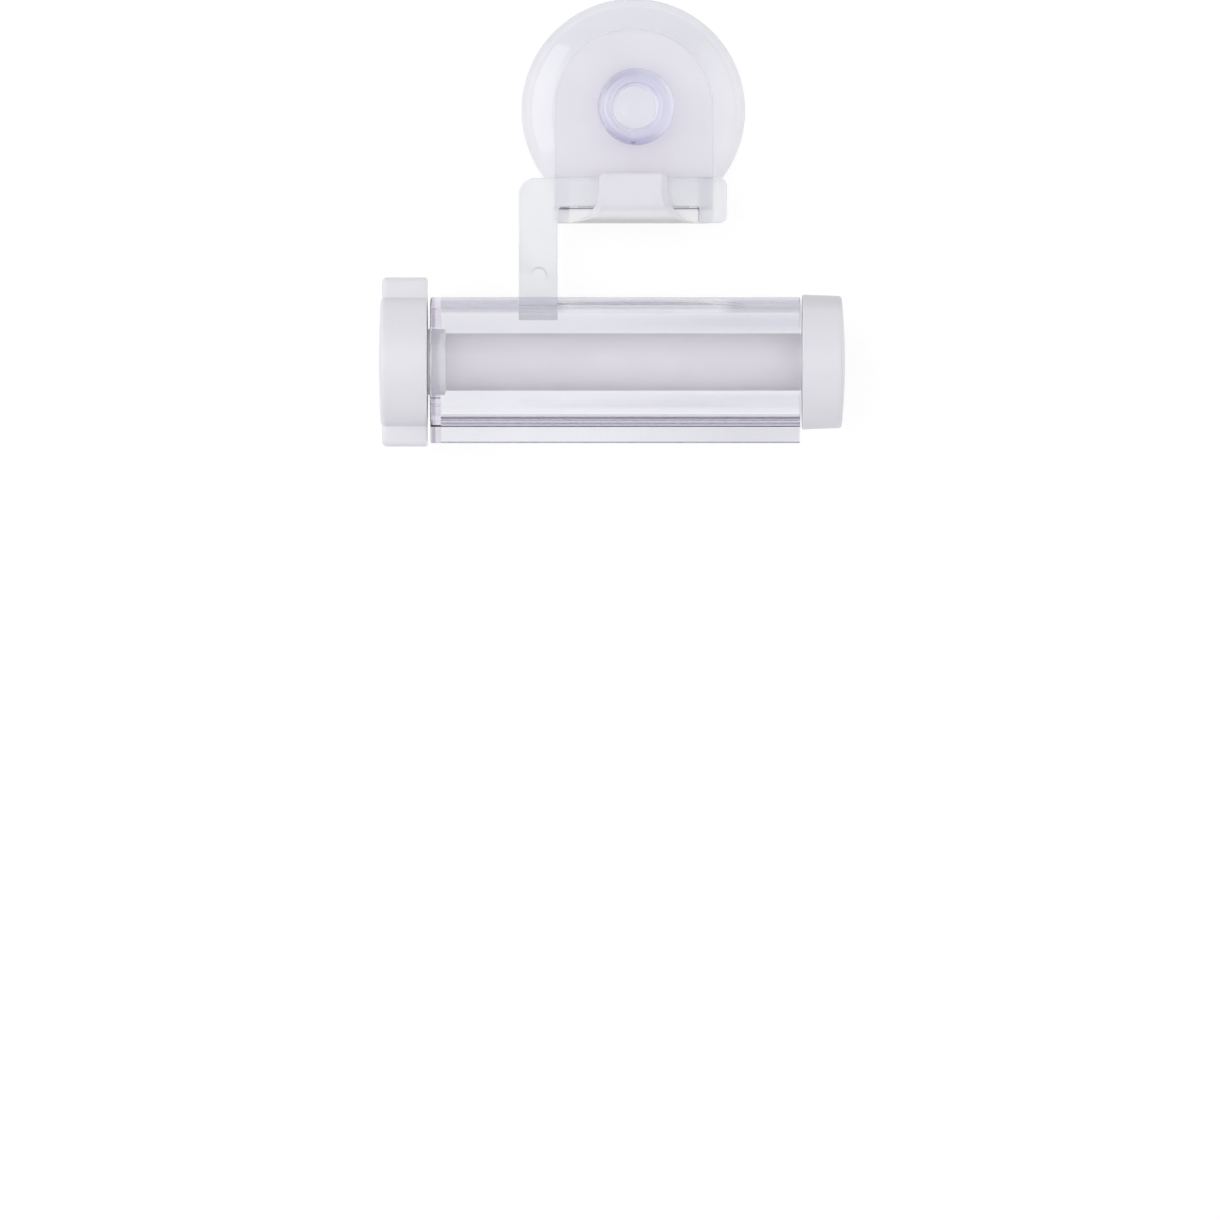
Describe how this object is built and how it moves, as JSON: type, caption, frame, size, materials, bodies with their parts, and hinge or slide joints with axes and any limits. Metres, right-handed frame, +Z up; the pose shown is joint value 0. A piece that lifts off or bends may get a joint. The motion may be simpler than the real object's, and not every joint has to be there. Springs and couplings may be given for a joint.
{
  "type": "toothpaste tube squeezer",
  "caption": "Wall-hung tube squeezer: suction cup and hook plate carry an arm with a clear slotted sleeve, in which a winged knob turns a split roller closed by an end cap.",
  "frame": {"origin": "middle of the suction cup's sealing face, on the wall", "axes": "+Y points into the wall, +Z is up, +X is to the right seen from the front, towards the end cap"},
  "size_m": [0.0932, 0.0346, 0.0904],
  "materials": {
    "cup_pvc": "clear soft PVC with a faint lavender tint, glossy",
    "plate_plastic": "translucent pinkish grey moulded plastic, satin gloss",
    "arm_plastic": "milky bluish white moulded plastic, satin gloss",
    "sleeve_plastic": "clear polystyrene, polished, lavender at its edges",
    "roller_plastic": "white moulded ABS, glossy",
    "knob_plastic": "white moulded ABS, satin gloss"
  },
  "bodies": {
    "cup": {"suction_cup": "cup_pvc"},
    "hook": {"hook_plate": "plate_plastic"},
    "hanger": {"hanger_arm": "arm_plastic", "sleeve": "sleeve_plastic"},
    "key": {"roller": "roller_plastic", "turning_knob": "knob_plastic"},
    "cap": {"end_cap": "knob_plastic"}
  },
  "joints": [
    {"name": "hook_turn", "type": "hinge", "parent": "cup", "child": "hook", "pos_m": [0, -0.0105, 0], "axis": [0, 1, 0], "continuous": true},
    {"name": "hanger_lift", "type": "slide", "parent": "hook", "child": "hanger", "axis": [0, 0, 1], "range_m": [0, 0.006]},
    {"name": "key_turn", "type": "hinge", "parent": "hanger", "child": "key", "pos_m": [0, -0.0211, -0.051], "axis": [1, 0, 0], "continuous": true},
    {"name": "cap_pull", "type": "slide", "parent": "key", "child": "cap", "axis": [1, 0, 0], "range_m": [0, 0.008]}
  ]
}
